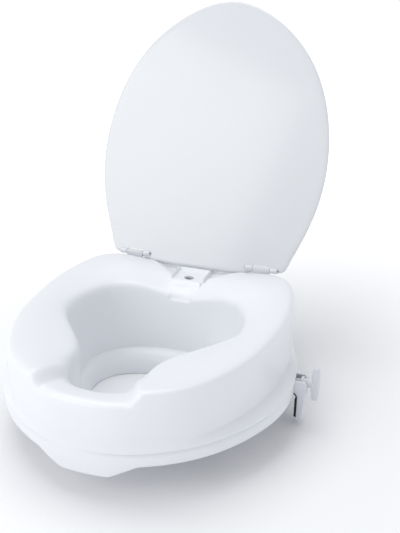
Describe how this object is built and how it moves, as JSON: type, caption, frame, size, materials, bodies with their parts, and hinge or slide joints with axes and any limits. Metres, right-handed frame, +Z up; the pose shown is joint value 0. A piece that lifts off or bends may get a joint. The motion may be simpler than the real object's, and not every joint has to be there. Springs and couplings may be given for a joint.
{
  "type": "raised toilet seat",
  "caption": "White raised toilet seat with a keyhole opening, front dip, splash guard, hinged lid and a screw clamp on each side that grips the bowl's rim.",
  "frame": {"origin": "middle of the seat's opening, on the plane of the toilet bowl's rim that the four rubber pads rest on", "axes": "+Z up, -Y towards the front of the seat (the user's knees), +Y towards the lid's hinge, +X to the right of someone looking from the front along +Y"},
  "size_m": [0.447, 0.5564, 0.5094],
  "materials": {
    "white_plastic": "glossy blow-moulded polyethylene, soft reflections",
    "grey_plastic": "satin injection-moulded nylon, light bluish grey",
    "grip_rubber": "matt black toothed rubber",
    "pad_rubber": "matt grey rubber",
    "steel": "bright zinc-plated steel",
    "brass": "turned brass"
  },
  "bodies": {
    "seat": {"seat_body": "white_plastic", "rim_pad_front_right": "pad_rubber", "rim_pad_front_left": "pad_rubber", "rim_pad_rear_right": "pad_rubber", "rim_pad_rear_left": "pad_rubber", "hinge_bracket_right": "white_plastic", "hinge_bracket_left": "white_plastic", "hinge_pin_right": "steel", "hinge_pin_left": "steel", "hinge_screw_right_lower": "steel", "hinge_screw_right_upper": "steel", "hinge_screw_left_lower": "steel", "hinge_screw_left_upper": "steel", "clamp_nut_right": "brass", "clamp_nut_left": "brass"},
    "lid": {"lid": "white_plastic"},
    "clamp_right": {"clamp_bracket_right": "grey_plastic", "clamp_grip_right": "grip_rubber"},
    "clamp_left": {"clamp_bracket_left": "grey_plastic", "clamp_grip_left": "grip_rubber"},
    "knob_right": {"clamp_knob_right": "grey_plastic", "clamp_spindle_right": "steel"},
    "knob_left": {"clamp_knob_left": "grey_plastic", "clamp_spindle_left": "steel"}
  },
  "joints": [
    {"name": "lid_hinge", "type": "hinge", "parent": "seat", "child": "lid", "pos_m": [0, 0.195, 0.0975], "axis": [1, 0, 0], "range_deg": [0, 113.5]},
    {"name": "clamp_slide_right", "type": "slide", "parent": "seat", "child": "clamp_right", "axis": [1, 0, 0], "range_m": [-0.007, 0.012]},
    {"name": "clamp_slide_left", "type": "slide", "parent": "seat", "child": "clamp_left", "axis": [-1, 0, 0], "range_m": [-0.007, 0.012]},
    {"name": "knob_turn_right", "type": "hinge", "parent": "clamp_right", "child": "knob_right", "pos_m": [0.2, 0.04, 0.014], "axis": [1, 0, 0], "range_deg": [-841, 1441]},
    {"name": "knob_turn_left", "type": "hinge", "parent": "clamp_left", "child": "knob_left", "pos_m": [-0.2, 0.04, 0.014], "axis": [-1, 0, 0], "range_deg": [-841, 1441]}
  ],
  "couplings": [
    {"joint": "knob_turn_right", "follows": "clamp_slide_right", "rad_per_m": 2094.4},
    {"joint": "knob_turn_left", "follows": "clamp_slide_left", "rad_per_m": 2094.4}
  ]
}
